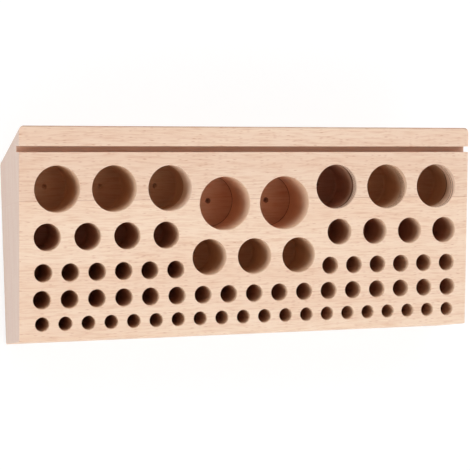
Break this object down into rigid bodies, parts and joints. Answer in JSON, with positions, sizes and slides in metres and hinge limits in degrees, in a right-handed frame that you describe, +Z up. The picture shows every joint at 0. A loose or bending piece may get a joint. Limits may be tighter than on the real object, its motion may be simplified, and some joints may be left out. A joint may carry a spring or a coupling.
{
  "type": "tool holder block",
  "caption": "Beech tool holder block: a sloping face with rows of blind round holes and a long slot, a nearly upright front and an overhanging rear side.",
  "frame": {"origin": "middle of the block's outline, on the underside", "axes": "+X along the rows of holes, -Y toward the user and the small holes, +Z up"},
  "size_m": [0.2664, 0.1142, 0.0472],
  "materials": {
    "rear_beech": "sanded, bare",
    "front_beech": "sanded, bare"
  },
  "bodies": {
    "root": {"rear_stave": "rear_beech", "front_stave": "front_beech"}
  },
  "joints": []
}
